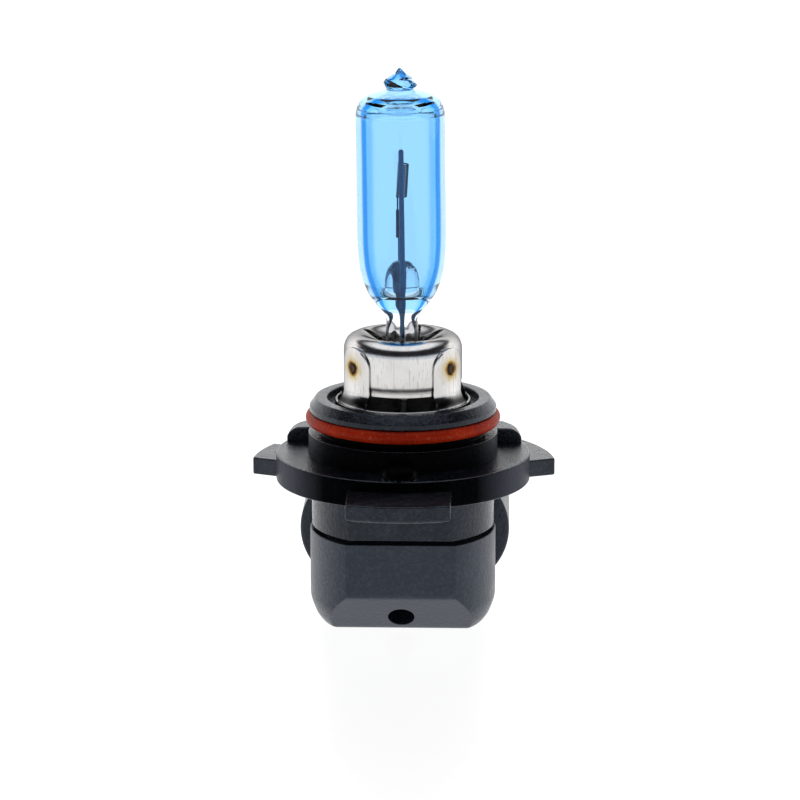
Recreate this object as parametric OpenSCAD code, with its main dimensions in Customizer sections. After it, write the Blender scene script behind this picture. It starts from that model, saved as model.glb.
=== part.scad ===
// Right-angle halogen headlight bulb: glass capsule on a weld ring in a moulded base with a rear socket.
// Millimetres. +Z runs up the lamp axis, the origin is the middle of the flat underside, socket toward +Y.

/* [Base] */
// Radius of the bottom cover
cap_r = 13.5; // [13.3:0.1:13.7]
// Distance from the axis to the flat on the front of the base
flat_y = 11.0; // [10.8:0.1:11.4]
// Height of the bottom cover
cover_h = 13.7; // [13.5:0.1:13.9]
// Open seam between the bottom cover and the upper housing
seam = 0.5; // [0.3:0.1:0.7]
// Diameter of the drain hole in the cover's chamfer
drain_d = 3.7; // [2.5:0.1:4.2]

/* [Flange and lugs] */
// Radius of the disc flange
disc_r = 18.4; // [18.0:0.1:19.0]
// Radius to the outer edge of the front tab
front_tab_r = 26.2; // [24.0:0.1:27.0]
// Width of the front tab
front_tab_w = 14.6; // [12.0:0.1:16.0]
// Radius to the outer edge of the left lug
left_lug_r = 22.0; // [20.5:0.1:23.0]
// Radius to the outer edge of the right lug
right_lug_r = 22.2; // [20.5:0.1:23.0]
// Height of the three humps above the flange
hump_h = 1.95; // [1.5:0.05:2.2]

/* [Neck and O-ring] */
// Radius of the neck under the O-ring
neck_r = 13.7; // [13.5:0.1:13.8]
// Radius of the lip over the O-ring
lip_r = 13.5; // [13.2:0.1:13.7]
// Thickness of the O-ring's section
oring_d = 2.0; // [1.6:0.05:2.2]

/* [Ring and cup] */
// Outer radius of the weld ring's skirt
ring_r = 9.8; // [9.7:0.05:9.9]
// Outer radius of the holder cup
cup_r = 8.55; // [8.45:0.05:8.6]
// Thickness of the pressed sheet
sheet = 0.42; // [0.35:0.01:0.45]
// Width of each upright tab
tab_w = 6.0; // [4.0:0.1:6.4]
// Height of the top of the tabs
tab_top = 41.3; // [40.4:0.1:41.6]

/* [Capsule] */
// Outer radius of the glass tube
tube_r = 6.38; // [6.3:0.02:6.5]
// Thickness of the glass wall
glass_wall = 1.08; // [0.9:0.02:1.2]
// Lean of the capsule in its cup, in degrees
lean_a = 0.65; // [0:0.05:1.5]

/* [Filament] */
// Outer diameter of the coil
coil_d = 1.6; // [1.3:0.05:1.8]
// Number of turns in the coil
coil_turns = 16; // [12:1:17]
// Diameter of the filament wire
wire_d = 0.18; // [0.14:0.01:0.2]
// Diameter of the two inner leads
lead_d = 0.72; // [0.68:0.01:0.76]

/* [Socket] */
// Width of the socket shell
shell_w = 31; // [30:0.1:32]
// Height of the socket shell
shell_h = 18.2; // [17.6:0.1:18.4]
// Distance from the axis to the mouth of the socket
mouth_y = 26; // [24:0.1:28]
// Width of each terminal blade
blade_w = 2.8; // [2.4:0.1:3.0]
// Thickness of the terminal blades
blade_t = 0.8; // [0.6:0.05:0.9]

/* [Hidden] */
e = 0.01;
up_r = cap_r - 0.25;
up_z = cover_h + seam;
disc_z = 20.83;
disc_top = 24.85;
lug_top = 23.3;
neck_top = 28.0;
groove_top = 31.0;
groove_r = 12.1;
lip_top = 33.0;
ledge_r = 10.95;
ledge_z = 31.8;
ring_bot = 27.0;
ring_rim = 32.8;
seal_r = 4.2;
seal_bot = 21.8;
seal_top = 25.0;
pivot = 38;
lead_y = 2.3;
front_x = 0.12;
rear_x = -0.22;
foil_in = 0.27;
foil_t = 0.14;
foil_w = 2.2;
out_r = 0.38;
blade_x = 4.5;
blade_z = 10.9;
term_end = 9.6;
coil_x = 0.22;
coil_bot = 62.2;
coil_h = 4.8;
coil_r = (coil_d - wire_d) / 2;
sleeve_r = 0.24;
tab_az = [51.6, 128.4, 231.6, 308.4];
spot_z = tab_top - tab_w / 2;

module lean() { translate([0, 0, pivot]) rotate([0, -lean_a, 0]) translate([0, 0, -pivot]) children(); }
// A position at an azimuth measured from the front (-Y) toward +X.
module at_az(a) { rotate([0, 0, a - 90]) children(); }
module tube(r1, r2, z1, z2) {
  translate([0, 0, z1]) difference() {
    cylinder(r = r1, h = z2 - z1, $fn = 128);
    translate([0, 0, -1]) cylinder(r = r2, h = z2 - z1 + 2, $fn = 128);
  }
}
module cap_plan(r, f) {
  intersection() {
    circle(r = r, $fn = 128);
    translate([-r - 1, -f]) square([2 * r + 2, f + r + 1]);
  }
}
module stadium(w, h, l) {
  rotate([-90, 0, 0]) linear_extrude(l) union() {
    square([w - h, h], center = true);
    for (s = [-1, 1]) translate([s * (w - h) / 2, 0]) circle(r = h / 2, $fn = 96);
  }
}

// Glass
module bulb_outline(w) {
  r = tube_r - w;
  polygon(w == 0 ? [
    [0, 43.4], [2.2, 43.4], [2.34, 44.8], [2.6, 45.5], [3.1, 46.1], [3.72, 46.7], [4.28, 47.4], [4.9, 48.3],
    [5.3, 49.15], [5.62, 50.1], [5.88, 51.0], [6.07, 52], [6.26, 53.7], [r, 56], [r, 73.7], [6.3, 74.7], [6.1, 75.4], [5.7, 76.05],
    [5.1, 76.55], [4.3, 76.95], [3.3, 77.25], [2.5, 77.45], [1.9, 77.6], [2.15, 77.8], [2.3, 78.15],
    [2.25, 78.6], [2.0, 79.0], [1.6, 79.35], [1.1, 79.65], [0.7, 79.95], [0.45, 80.3], [0, 80.7]
  ] : [
    [0, 53.1], [0.9, 52.95], [1.5, 52.55], [1.95, 51.9], [2.25, 51.1], [2.42, 50.2], [2.5, 49.2], [2.6, 48.5],
    [2.85, 48.1], [3.15, 48.0], [3.6, 48.3], [4.05, 48.95], [4.5, 49.85], [4.85, 51.0], [5.05, 52.3], [5.2, 54],
    [r - 0.02, 55.8], [r, 57.5], [r, 73.2], [r - 0.15, 74.0], [r - 0.6, 74.6], [r - 1.4, 74.95], [r - 2.4, 75.05],
    [0, 75.1]
  ]);
}
module foil_slab(x, s) {
  translate([x + foil_in, s * lead_y - foil_w / 2, 37.5]) cube([foil_t, foil_w, 5.7]);
}
module foil_bore(x, s) {
  translate([x, s * lead_y, 42.2]) cylinder(r = lead_d / 2, h = 12, $fn = 32);
  translate([x, s * lead_y, 30]) cylinder(r = out_r, h = 8.5, $fn = 32);
  foil_slab(x, s);
}
module glass_capsule() {
  color("#9fd4ff") lean() difference() {
    union() {
      rotate_extrude($fn = 96) bulb_outline(0);
      intersection() {
        translate([-2.3, -4.6, 34]) difference() {
          cube([4.6, 9.2, 16]);
          for (s = [-1, 1]) translate([2.3, 4.6 + s * 4.9, -1]) cylinder(r = 0.6, h = 10, $fn = 32);
        }
        translate([0, 0, 33]) rotate_extrude($fn = 96)
          polygon([[0, 0], [5.3, 0], [5.3, 15.5], [5.2, 16.2], [5.05, 16.8], [0, 18]]);
      }
    }
    rotate_extrude($fn = 96) bulb_outline(glass_wall);
    foil_bore(front_x, -1);
    foil_bore(rear_x, 1);
  }
}

// Leads, foils and filament
module inner_lead(x, s, top) {
  difference() {
    union() {
      translate([x, s * lead_y, 42.2]) cylinder(r = lead_d / 2, h = top - 42.2 - lead_d / 2, $fn = 32);
      translate([x, s * lead_y, top - lead_d / 2]) sphere(r = lead_d / 2, $fn = 32);
    }
    foil_slab(x, s);
  }
}
module long_lead() { color("#4a4a50") lean() inner_lead(front_x, -1, 69.4); }
module short_lead() { color("#4a4a50") lean() inner_lead(rear_x, 1, 58.5); }
module front_foil() { color("#8a8a90") lean() foil_slab(front_x, -1); }
module rear_foil() { color("#8a8a90") lean() foil_slab(rear_x, 1); }
module outer_lead(x, s) {
  shift = sin(lean_a) * (pivot - 33);
  difference() {
    union() {
      lean() translate([x, s * lead_y, 33]) cylinder(r = out_r, h = 5.5, $fn = 32);
      translate([x + shift, s * lead_y, 33]) sphere(r = out_r + 0.1, $fn = 32);
      translate([x + shift, s * lead_y, term_end]) cylinder(r = out_r, h = 33 - term_end, $fn = 32);
    }
    lean() foil_slab(x, s);
  }
}
module front_outer_lead() { color("#b9b9bd") outer_lead(front_x, -1); }
module rear_outer_lead() { color("#b9b9bd") outer_lead(rear_x, 1); }

// The coil and its two legs are one swept wire of flat facets.
steps = 14;
sides = 6;
coil_n = steps * coil_turns;
coil_tilt = 3.9;
coil_mid = coil_bot + coil_h / 2;
function tip(p) = [p[0] * cos(coil_tilt) + p[2] * sin(coil_tilt), p[1], p[2] * cos(coil_tilt) - p[0] * sin(coil_tilt)];
function coil_station(i) = let (a = 180 + 360 * i / steps) [
  [coil_x, 0, coil_mid] + tip([coil_r * cos(a), coil_r * sin(a), coil_h * (i / coil_n - 0.5)]),
  tip([cos(a), sin(a), 0]), tip([0, 0, 1])];
top_z = coil_station(coil_n)[0][2];
bot_z = coil_station(0)[0][2];
upper_in = [front_x - 0.05, -0.7, top_z];
upper_out = [front_x - 0.05, lead_d / 2 - lead_y + 0.03, top_z];
lower_x = rear_x - 0.36;
lower_y = lead_y - 0.48;
stations = concat(
  [[[lower_x, lower_y, 56.2], [-1, 0, 0], [0, 1, 0]], [[lower_x, lower_y, bot_z], [-1, 0, 0], [0, 1, 1]]],
  [for (i = [0:coil_n]) coil_station(i)],
  [[upper_in, [-1, 0, 0], [0, 0, 1]], [upper_out, [-1, 0, 0], [0, 0, 1]]]);
wire_n = len(stations) - 1;
module filament() {
  color("#3a3a40") lean() polyhedron(
    points = [for (s = stations, k = [0:sides - 1])
      s[0] + wire_d / 2 * (s[1] * cos(360 * k / sides) + s[2] * sin(360 * k / sides))],
    faces = concat([for (k = [1:sides - 2]) [0, k, k + 1]],
      [for (i = [0:wire_n - 1], k = [0:sides - 1]) let (a = i * sides + k, b = i * sides + (k + 1) % sides)
        [a, a + sides, b]],
      [for (i = [0:wire_n - 1], k = [0:sides - 1]) let (a = i * sides + k, b = i * sides + (k + 1) % sides)
        [b, a + sides, b + sides]],
      [for (k = [1:sides - 2]) [wire_n * sides, wire_n * sides + k + 1, wire_n * sides + k]]));
}
module upper_leg_sleeve() {
  color("#55555c") lean() difference() {
    translate(upper_in) rotate([90, 0, 0]) cylinder(r = sleeve_r, h = lead_y - lead_d / 2 - 0.7, $fn = 32);
    translate(upper_in + [0, 1, 0]) rotate([90, 0, 0]) cylinder(r = 0.1, h = 4, $fn = 32);
  }
}
module lower_leg_sleeve() {
  color("#55555c") lean() translate([lower_x, lower_y, 0]) difference() {
    translate([0, 0, 56]) cylinder(r = sleeve_r, h = 4, $fn = 32);
    translate([0, 0, 56.2]) cylinder(r = 0.1, h = 5, $fn = 32);
  }
}

// Pressed metal
module nugget(a, r1, r2) {
  at_az(a) translate([r1, 0, spot_z]) rotate([0, 90, 0]) cylinder(r = 0.55, h = r2 - r1, $fn = 32);
}
module star_hole() {
  translate([0, 0, 39]) linear_extrude(5) union() {
    square([4.8, 9.4], center = true);
    for (a = [22.5, 157.5, 202.5, 337.5]) rotate(a - 90) polygon([[0, -1.3], [5.6, -0.25], [5.6, 0.25], [0, 1.3]]);
    for (a = [67.5, 112.5, 247.5, 292.5]) rotate(a - 90) polygon([[0, -1.7], [5.9, -0.35], [5.9, 0.35], [0, 1.7]]);
  }
}
module holder_cup() {
  r = cup_r;
  t = sheet;
  color("#d8d6d2") difference() {
    rotate_extrude($fn = 128) polygon([
      [r - 0.13, 34.6], [r - 0.13, 35.7], [r, 35.85], [r, 40.2], [r - 0.1, 40.86], [r - 0.42, 41.49],
      [r - 0.91, 41.98], [r - 1.52, 42.3], [r - 2.2, 42.4], [r - 2.9, 42.25], [r - 4.0, 41.6], [3.0, 40.95],
      [2.2, 40.9], [2.2, 40.9 - t], [3.0, 40.95 - t], [r - 4.0, 41.6 - t], [r - 2.8, 42.25 - t],
      [r - 2.2, 42.4 - t], [r - 1.6, 42.3 - t], [r - 1.1, 42.0 - t], [r - 0.7, 41.4 - t], [r - t - 0.06, 40.8 - t],
      [r - t, 40.2 - t], [r - t, 36.0], [r - t - 0.13, 35.7], [r - t - 0.13, 34.6]]);
    star_hole();
    for (a = tab_az) nugget(a, 7.5, 9.2);
  }
}
module weld_ring() {
  r = ring_r;
  t = sheet;
  c = cup_r;
  color("#d8d6d2") difference() {
    union() {
      tube(r, r - t, ring_bot, ring_rim);
      for (a = tab_az) intersection() {
        rotate_extrude($fn = 128) polygon([[r - t, ring_rim - 1.2], [r, ring_rim - 1.2], [r, ring_rim],
          [c + t + 0.1, 34.3], [c + t, 34.7], [c + t, tab_top + 1], [c, tab_top + 1], [c, 34.6],
          [r - t, ring_rim - 0.15]]);
        at_az(a) rotate([90, 0, 90]) linear_extrude(12) union() {
          translate([-tab_w / 2, ring_rim - 1.2]) square([tab_w, spot_z - ring_rim + 1.2]);
          translate([0, spot_z]) circle(r = tab_w / 2, $fn = 64);
        }
      }
    }
    for (a = tab_az) nugget(a, 8.0, 9.4);
  }
}
module weld_spots() { color("#8a6a40") for (a = tab_az) nugget(a, cup_r - sheet - 0.05, cup_r + sheet + 0.08); }

// Mouldings
module lug(a, r, w1, w2) {
  intersection() {
    translate([0, 0, disc_z]) cylinder(r = r, h = lug_top - disc_z, $fn = 160);
    at_az(a) translate([disc_r - 5, -w1, disc_z]) cube([12, w1 + w2, lug_top - disc_z]);
  }
}
module round_hump() {
  h = hump_h;
  w = 2.65;
  rr = (w * w + h * h) / (2 * h);
  intersection() {
    union() {
      translate([0, -13, disc_top + h - rr]) rotate([90, 0, 0]) cylinder(r = rr, h = disc_r - 13 - w, $fn = 96);
      translate([0, -disc_r + w, disc_top + h - rr]) sphere(r = rr, $fn = 96);
    }
    translate([-4, -disc_r, disc_top - 1]) cube([8, disc_r - 12, 4]);
  }
}
module side_hump(s) {
  intersection() {
    translate([0, 11.15, disc_top - 1]) rotate([90, 0, 0]) linear_extrude(5.3) polygon([
      [s * 8, 0], [s * 17.3, 0], [s * 17.3, 1], [s * 17.25, 1.5], [s * 17.05, 1.9], [s * 16.7, 2.35],
      [s * 16.2, 2.7], [s * 15.6, 0.9 + hump_h], [s * 15.2, 1 + hump_h], [s * 8, 1 + hump_h]]);
    translate([0, 0, disc_z]) cylinder(r = disc_r, h = 8, $fn = 160);
  }
}
module cross_slots(r1, r2) {
  for (s = [-1, 1]) translate([s * blade_x - blade_w / 2, r1, blade_z - blade_t / 2]) cube([blade_w, r2 - r1, blade_t]);
}
module base_housing() {
  color("#2c2c2e") difference() {
    union() {
      translate([0, 0, up_z]) linear_extrude(disc_z - up_z + 0.5) cap_plan(up_r, flat_y);
      translate([0, 0, disc_z]) cylinder(r = disc_r, h = disc_top - disc_z, $fn = 160);
      intersection() {
        translate([0, 0, disc_z]) cylinder(r = front_tab_r, h = lug_top - disc_z, $fn = 192);
        translate([0, 0, disc_z]) rotate([90, 0, 0]) linear_extrude(40) polygon([
          [-front_tab_w / 2, 0.7], [-front_tab_w / 2 + 0.2, 0.2], [-front_tab_w / 2 + 0.7, 0],
          [front_tab_w / 2 - 0.7, 0], [front_tab_w / 2 - 0.2, 0.2], [front_tab_w / 2, 0.7],
          [front_tab_w / 2, 3], [-front_tab_w / 2, 3]]);
      }
      lug(113, right_lug_r, 6.5, 6.5);
      lug(-113, left_lug_r, 1.9, 7.15);
      round_hump();
      for (s = [-1, 1]) side_hump(s);
      rotate_extrude($fn = 160) polygon([[5, 22], [neck_r, 22], [neck_r, neck_top], [groove_r, neck_top],
        [groove_r, groove_top], [lip_r, groove_top], [lip_r, ledge_z], [lip_r - 0.87, lip_top],
        [ledge_r, lip_top], [ledge_r, ledge_z], [5, ledge_z]]);
    }
    translate([0, 0, ring_bot]) cylinder(r = ring_r, h = 10, $fn = 128);
    translate([0, 0, seal_top]) cylinder(r = 8.6, h = 10, $fn = 128);
    cylinder(r = seal_r, h = 40, $fn = 96);
    translate([0, 0, 10]) linear_extrude(seal_bot - 10) cap_plan(cap_r - 3.1, flat_y - 3.1);
    translate([0, 0, 10]) linear_extrude(up_z + 3.4 - 10) cap_plan(cap_r - 2.1, flat_y - 2.1);
    rotate([0, 0, 163]) rotate_extrude(angle = 20, $fn = 128)
      polygon([[lip_r - 0.75, lip_top - 0.45], [lip_r + 1, lip_top - 0.45], [lip_r + 1, 34], [lip_r - 0.75, 34]]);
  }
}
module base_cover() {
  a = atan2(4.5, 5.8);
  color("#2c2c2e") difference() {
    union() {
      intersection() {
        linear_extrude(cover_h) cap_plan(cap_r, flat_y);
        rotate_extrude($fn = 128) polygon([[0, 0], [cap_r - 2.0, 0], [cap_r - 1.4, 0.5], [cap_r - 0.9, 1.15],
          [cap_r - 0.6, 1.85], [cap_r - 0.2, 2.9], [cap_r, 3.8], [cap_r, 20], [0, 20]]);
      }
      translate([0, 0, cover_h - e]) linear_extrude(seam + 3 + e) cap_plan(cap_r - 2.1, flat_y - 2.1);
    }
    difference() {
      translate([0, 0, 2]) linear_extrude(20) cap_plan(cap_r - 3.1, flat_y - 3.1);
      translate([0, -6.5, 0]) rotate([a, 0, 0]) translate([-20, -10, -10]) cube([40, 11.7, 30]);
    }
    translate([0, -6.5, 0]) rotate([a, 0, 0]) translate([-20, -20, -10]) cube([40, 20, 17.3]);
    translate([0, -8.15, 2.13]) rotate([a, 0, 0]) rotate([90, 0, 0])
      translate([0, 0, -4.5]) cylinder(d = drain_d, h = 8, $fn = 64);
    cross_slots(5, 16);
  }
}
module connector_shell() {
  color("#2c2c2e") difference() {
    union() {
      translate([0, 8.5, blade_z]) stadium(shell_w, shell_h, mouth_y - 8.5);
      translate([-2.5, 0, 0]) rotate([90, 0, 90]) linear_extrude(5)
        polygon([[mouth_y - 9, 2.4], [mouth_y - 3, 0.5], [mouth_y - 2.4, 0.5], [mouth_y - 2.4, 2.4]]);
    }
    translate([0, 15.6, blade_z]) stadium(shell_w - 3.2, shell_h - 3.2, 20);
    translate([0, 0, -5]) cylinder(r = cap_r, h = 5 + cover_h + seam / 2, $fn = 128);
    translate([0, 0, cover_h + seam / 2 - e]) cylinder(r = up_r, h = 20, $fn = 128);
    cross_slots(5, 20);
  }
}
module o_ring() {
  color("#c0481f") translate([0, 0, groove_top - oring_d / 2]) rotate_extrude($fn = 128)
    translate([groove_r + oring_d / 2, 0]) circle(d = oring_d, $fn = 48);
}
module terminal(s) {
  color("#b8b8a8") difference() {
    translate([0, 0, blade_z - blade_t / 2]) linear_extrude(blade_t) union() {
      if (s < 0) polygon([[-blade_x - blade_w / 2, -3.7], [1.4, -3.7], [1.4, -0.9], [-blade_x + blade_w / 2, -0.9],
        [-blade_x + blade_w / 2, mouth_y - 3], [-blade_x + 0.7, mouth_y - 2], [-blade_x - 0.7, mouth_y - 2],
        [-blade_x - blade_w / 2, mouth_y - 3]]);
      else polygon([[blade_x + blade_w / 2, 0.9], [-1.4, 0.9], [-1.4, 3.7], [blade_x - blade_w / 2, 3.7],
        [blade_x - blade_w / 2, mouth_y - 3], [blade_x - 0.7, mouth_y - 2], [blade_x + 0.7, mouth_y - 2],
        [blade_x + blade_w / 2, mouth_y - 3]]);
    }
    translate([(s < 0 ? front_x : rear_x) + sin(lean_a) * (pivot - 33), s * lead_y, 0])
      cylinder(r = out_r, h = 30, $fn = 32);
  }
}
module left_terminal() { terminal(-1); }
module right_terminal() { terminal(1); }
module lead_seal() {
  shift = sin(lean_a) * (pivot - 33);
  color("#8c3b2a") difference() {
    translate([0, 0, seal_bot]) cylinder(r = seal_r, h = seal_top - seal_bot, $fn = 96);
    translate([front_x + shift, -lead_y, 10]) cylinder(r = out_r, h = 30, $fn = 32);
    translate([rear_x + shift, lead_y, 10]) cylinder(r = out_r, h = 30, $fn = 32);
  }
}

glass_capsule();
filament();
long_lead();
short_lead();
upper_leg_sleeve();
lower_leg_sleeve();
front_foil();
rear_foil();
front_outer_lead();
rear_outer_lead();
holder_cup();
weld_ring();
weld_spots();
base_housing();
connector_shell();
base_cover();
o_ring();
left_terminal();
right_terminal();
lead_seal();
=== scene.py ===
import math

import bpy
from mathutils import Matrix, Vector


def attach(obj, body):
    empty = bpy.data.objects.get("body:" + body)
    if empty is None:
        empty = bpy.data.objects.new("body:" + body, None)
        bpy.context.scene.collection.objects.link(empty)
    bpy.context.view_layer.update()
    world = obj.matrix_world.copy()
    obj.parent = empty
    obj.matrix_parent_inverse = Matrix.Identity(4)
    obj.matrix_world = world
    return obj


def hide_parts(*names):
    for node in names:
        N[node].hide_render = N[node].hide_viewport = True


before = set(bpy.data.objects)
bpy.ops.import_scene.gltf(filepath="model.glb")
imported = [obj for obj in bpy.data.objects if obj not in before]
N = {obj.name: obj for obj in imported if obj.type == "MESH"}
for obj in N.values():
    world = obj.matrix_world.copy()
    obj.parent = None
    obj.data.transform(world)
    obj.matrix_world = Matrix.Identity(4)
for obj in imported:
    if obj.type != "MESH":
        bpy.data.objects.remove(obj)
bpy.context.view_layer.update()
MM = 0.001
sin, cos, pi = math.sin, math.cos, math.pi

# ---------------------------------------------------------------- sizes, in millimetres, as in the CAD
LEAN = math.radians(0.65)
PIVOT = 38.0
TUBE_R, CAVITY_R, CAPSULE_FOOT = 6.38, 5.3, 34.0

COIL_MID, COIL_TILT = Vector((0.22, 0, 64.6)), math.radians(3.9)
COIL_R, COIL_H, TURNS, TURN_STEPS = 0.71, 4.8, 16, 28
WIRE_R = 0.112
LOWER_LEG_X, UPPER_LEG_X = -0.58, 0.07

TAB_AZ = [51.6, 128.4, 231.6, 308.4]
TAB_HALF, SPOT_Z = 3.0, 38.3
CUP_SHEET = 0.42
RING_MID_R, RING_SHEET = 9.59, 0.42

DISC_R, DISC_BOTTOM, DISC_TOP = 18.4, 20.83, 24.85
LUG_BOTTOM, LUG_TOP = 20.8, 23.3
LUG_AZ = 113
HUMP_TOP = 26.8
BODY_FLAT = 11.0
SHELL_W, SHELL_H, SHELL_Z = 31.0, 18.2, 10.9
ORING_R, ORING_WIRE, ORING_Z = 13.1, 0.98, 30.0


def lean(p):
    """Leans a point of the capsule about the pinch, as it stands in its cup."""
    x, y, z = p
    z -= PIVOT
    return (x * cos(LEAN) - z * sin(LEAN), y, PIVOT + x * sin(LEAN) + z * cos(LEAN))


def at_az(a, r, z):
    """A point at azimuth a, in degrees from the front toward +X."""
    t = math.radians(a)
    return (r * sin(t), -r * cos(t), z)


def smooth(t):
    t = max(0.0, min(1.0, t))
    return t * t * (3 - 2 * t)


def fillet(pts, n=6, closed=True):
    """Rounds the corners of a polyline of (x, y, radius)."""
    out = []
    m = len(pts)
    for i, p in enumerate(pts):
        r = p[2] if len(p) > 2 else 0
        if r <= 0 or (not closed and i in (0, m - 1)):
            out.append((p[0], p[1]))
            continue
        a, b, c = Vector(pts[i - 1][:2]), Vector(p[:2]), Vector(pts[(i + 1) % m][:2])
        u, w = (a - b).normalized(), (c - b).normalized()
        half = math.acos(max(-1, min(1, u.dot(w)))) / 2
        if half > 1.56:
            out.append((p[0], p[1]))
            continue
        t = min(r / math.tan(half), (a - b).length * 0.48, (c - b).length * 0.48)
        r = t * math.tan(half)
        mid = b + (u + w).normalized() * (r / sin(half))
        s, e = b + u * t - mid, b + w * t - mid
        turn = s.angle_signed(e)
        for k in range(n + 1):
            q = s.copy()
            q.rotate(Matrix.Rotation(-turn * k / n, 2))
            out.append((mid.x + q.x, mid.y + q.y))
    return out


class Build:
    """Gathers closed shells into one mesh."""

    def __init__(self):
        self.v, self.f, self.m = [], [], []

    def rings(self, rings, cap=(True, True), loop=False, mat=0, flip=False):
        base, n, k = len(self.v), len(rings[0]), len(rings)
        for r in rings:
            self.v += [Vector(p) for p in r]
        for i in range(k if loop else k - 1):
            a, b = base + i * n, base + (i + 1) % k * n
            for j in range(n):
                q = (a + j, a + (j + 1) % n, b + (j + 1) % n, b + j)
                self.face(q[::-1] if flip else q, mat)
        if not loop:
            lo, hi = tuple(range(base, base + n)), tuple(range(base + (k - 1) * n, base + k * n))
            if cap[0]:
                self.face(lo if flip else lo[::-1], mat)
            if cap[1]:
                self.face(hi[::-1] if flip else hi, mat)

    def face(self, f, mat=0):
        self.f.append(tuple(f))
        self.m.append(mat)

    def lathe(self, prof, seg=160, loop=False, mat=0, flip=False, move=None):
        """Turns a profile of (radius, z) about the axis."""
        rings = []
        for r, z in prof:
            ring = [(r * cos(2 * pi * i / seg), r * sin(2 * pi * i / seg), z) for i in range(seg)]
            rings.append([move(p) for p in ring] if move else ring)
        self.rings(rings, loop=loop, mat=mat, flip=flip)

    def prism(self, outline, z0, z1, r0=0.2, r1=0.2, n=4, place=None, mat=0):
        """An extruded outline with rounded edges; the outline runs anticlockwise."""
        m = len(outline)
        nrm = []
        for i in range(m):
            a, b, c = Vector(outline[i - 1]), Vector(outline[i]), Vector(outline[(i + 1) % m])
            t1, t2 = (b - a), (c - b)
            if t1.length < 1e-7 or t2.length < 1e-7:
                t1 = t2 = c - a
            n1 = Vector((t1.y, -t1.x)).normalized()
            n2 = Vector((t2.y, -t2.x)).normalized()
            h = (n1 + n2).normalized()
            nrm.append(h / max(0.6, h.dot(n1)))
        rings = []
        levels = [(z0 + r0 * (1 - cos(pi / 2 * k / n)), r0 * (1 - sin(pi / 2 * k / n))) for k in range(n + 1)]
        levels += [(z1 - r1 * (1 - sin(pi / 2 * k / n)), r1 * (1 - cos(pi / 2 * k / n))) for k in range(n + 1)]
        for z, inset in levels:
            rings.append([(p[0] - q.x * inset, p[1] - q.y * inset, z) for p, q in zip(outline, nrm)])
        if place:
            rings = [[place(p) for p in r] for r in rings]
        self.rings(rings, mat=mat)

    def object(self, name, mats, node=None, slot=None, smooth_deg=38, weighted=True):
        me = bpy.data.meshes.new(name)
        me.from_pydata([v * MM for v in self.v], [], self.f)
        for m in mats:
            me.materials.append(m)
        for p, i in zip(me.polygons, self.m):
            p.use_smooth = True
            p.material_index = i
        me.validate()
        me.update()
        if smooth_deg:
            me.set_sharp_from_angle(angle=math.radians(smooth_deg))
        ob = bpy.data.objects.new(name, me)
        bpy.context.scene.collection.objects.link(ob)
        if weighted:
            w = ob.modifiers.new("normals", "WEIGHTED_NORMAL")
            w.keep_sharp = True
        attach(ob, "root")
        if node:
            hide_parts(*node)
        return ob


# ---------------------------------------------------------------- materials
class Mat:
    """A node material with short helpers."""

    def __init__(self, name):
        self.mat = bpy.data.materials.new(name)
        self.mat.use_nodes = True
        self.t = self.mat.node_tree
        self.b = self.t.nodes["Principled BSDF"]
        self.pos = self.t.nodes.new("ShaderNodeTexCoord").outputs["Object"]

    def node(self, kind, **props):
        n = self.t.nodes.new(kind)
        for k, v in props.items():
            setattr(n, k, v)
        return n

    def link(self, a, b):
        self.t.links.new(a, b)

    def set(self, **kw):
        for k, v in kw.items():
            self.b.inputs[k.replace("_", " ")].default_value = v

    def noise(self, scale, detail=3.0, rough=0.55, stretch=None, dist=0.0):
        src = self.pos
        if stretch:
            mp = self.node("ShaderNodeMapping")
            mp.inputs["Scale"].default_value = stretch
            self.link(src, mp.inputs["Vector"])
            src = mp.outputs["Vector"]
        n = self.node("ShaderNodeTexNoise")
        n.inputs["Scale"].default_value = scale
        n.inputs["Detail"].default_value = detail
        n.inputs["Roughness"].default_value = rough
        n.inputs["Distortion"].default_value = dist
        self.link(src, n.inputs["Vector"])
        return n.outputs["Fac"]

    def ramp(self, fac, stops):
        """stops: (position, colour or value)."""
        r = self.node("ShaderNodeValToRGB")
        els = r.color_ramp.elements
        for i, (p, c) in enumerate(stops):
            el = els[i] if i < 2 else els.new(p)
            el.position = p
            c = (c, c, c) if isinstance(c, (int, float)) else c
            el.color = (*c, 1.0)
        self.link(fac, r.inputs["Fac"])
        return r.outputs["Color"]

    def mix(self, fac, a, b, blend="MIX"):
        m = self.node("ShaderNodeMix", data_type="RGBA", blend_type=blend)
        for sock, val in ((0, fac), (6, a), (7, b)):
            if isinstance(val, (int, float)):
                m.inputs[sock].default_value = val
            elif isinstance(val, tuple):
                m.inputs[sock].default_value = (*val, 1.0)
            else:
                self.link(val, m.inputs[sock])
        return m.outputs[2]

    def math(self, op, a, b=0.0):
        m = self.node("ShaderNodeMath", operation=op)
        for i, val in enumerate((a, b)):
            if isinstance(val, (int, float)):
                m.inputs[i].default_value = val
            else:
                self.link(val, m.inputs[i])
        return m.outputs[0]

    def bump(self, height, strength, dist=0.0001, under=None):
        b = self.node("ShaderNodeBump")
        b.inputs["Strength"].default_value = strength
        b.inputs["Distance"].default_value = dist
        self.link(height, b.inputs["Height"])
        if under:
            self.link(under, b.inputs["Normal"])
        self.link(b.outputs["Normal"], self.b.inputs["Normal"])
        return b.outputs["Normal"]

    def color(self, s):
        self.link(s, self.b.inputs["Base Color"])

    def rough(self, s):
        self.link(s, self.b.inputs["Roughness"])


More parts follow.
